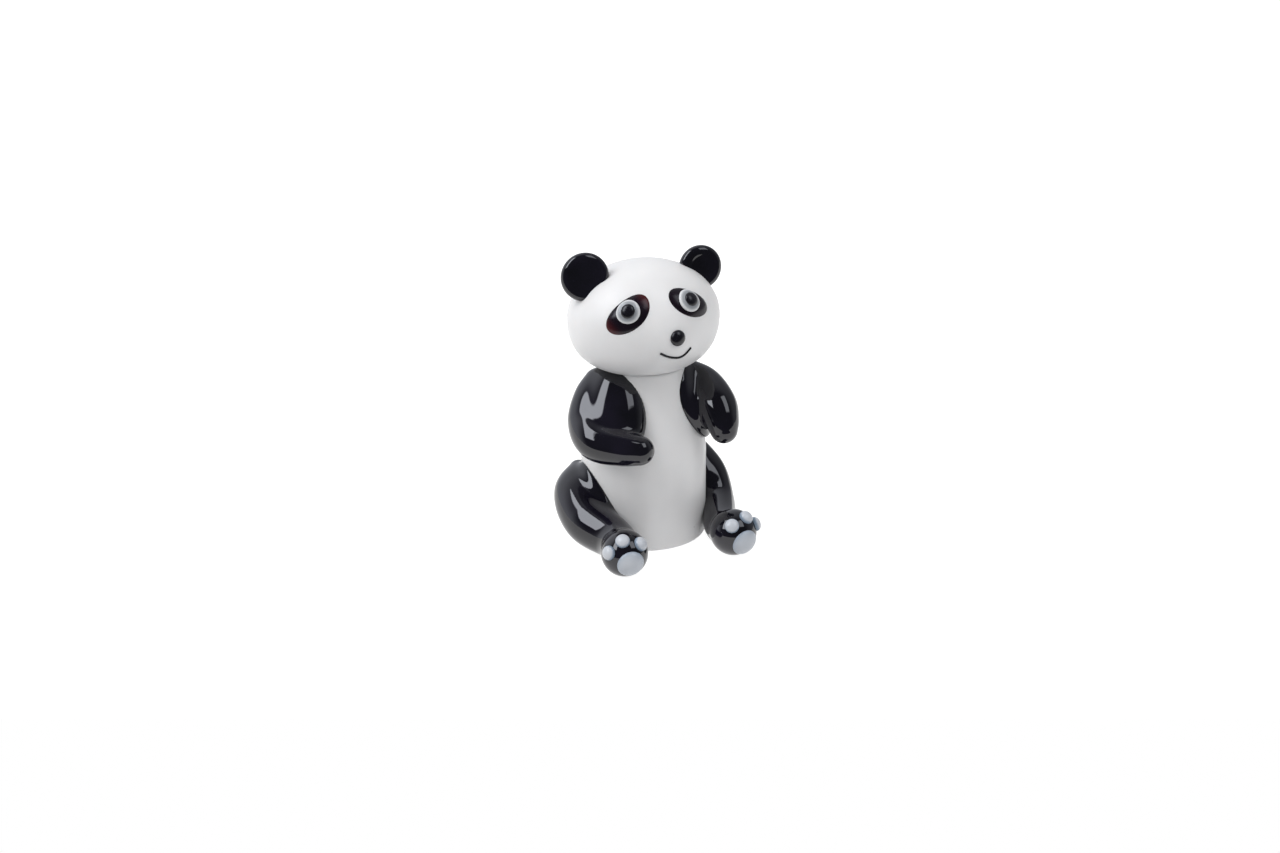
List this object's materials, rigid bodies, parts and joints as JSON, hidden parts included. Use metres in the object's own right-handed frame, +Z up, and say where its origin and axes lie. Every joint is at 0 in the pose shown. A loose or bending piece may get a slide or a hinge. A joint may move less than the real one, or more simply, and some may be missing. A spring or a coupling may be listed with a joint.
{
  "type": "panda figurine",
  "caption": "Small sitting panda in lampworked glass, with a white head and body, black ears, limbs and eye patches, and pale paw pads; stands on its flat base.",
  "frame": {"origin": "middle of the torso's flat underside, on the surface that the figurine stands on", "axes": "+Z up, -Y the way the panda looks, +X the panda's left"},
  "size_m": [0.0384, 0.0385, 0.061],
  "materials": {
    "white glass": "opaque opal glass, fire-polished gloss",
    "black glass": "opaque black glass, fire-polished gloss",
    "aubergine glass": "near-black violet glass that shows plum where it is thin, high gloss",
    "eye white glass": "opaque greyish white glass, high gloss",
    "pale grey glass": "milky blue-grey glass, high gloss"
  },
  "bodies": {
    "root": {"torso": "white glass", "head": "white glass", "ear_right": "black glass", "ear_left": "black glass", "arm_right": "black glass", "arm_left": "black glass", "leg_right": "black glass", "leg_left": "black glass", "eye_patch_right": "aubergine glass", "eye_patch_left": "aubergine glass", "eye_white_right": "eye white glass", "eye_white_left": "eye white glass", "pupil_right": "black glass", "pupil_left": "black glass", "nose": "black glass", "mouth": "black glass", "sole_pad_right": "pale grey glass", "sole_pad_left": "pale grey glass", "toe_right_1": "pale grey glass", "toe_right_2": "pale grey glass", "toe_right_3": "pale grey glass", "toe_left_1": "pale grey glass", "toe_left_2": "pale grey glass", "toe_left_3": "pale grey glass"}
  },
  "joints": []
}
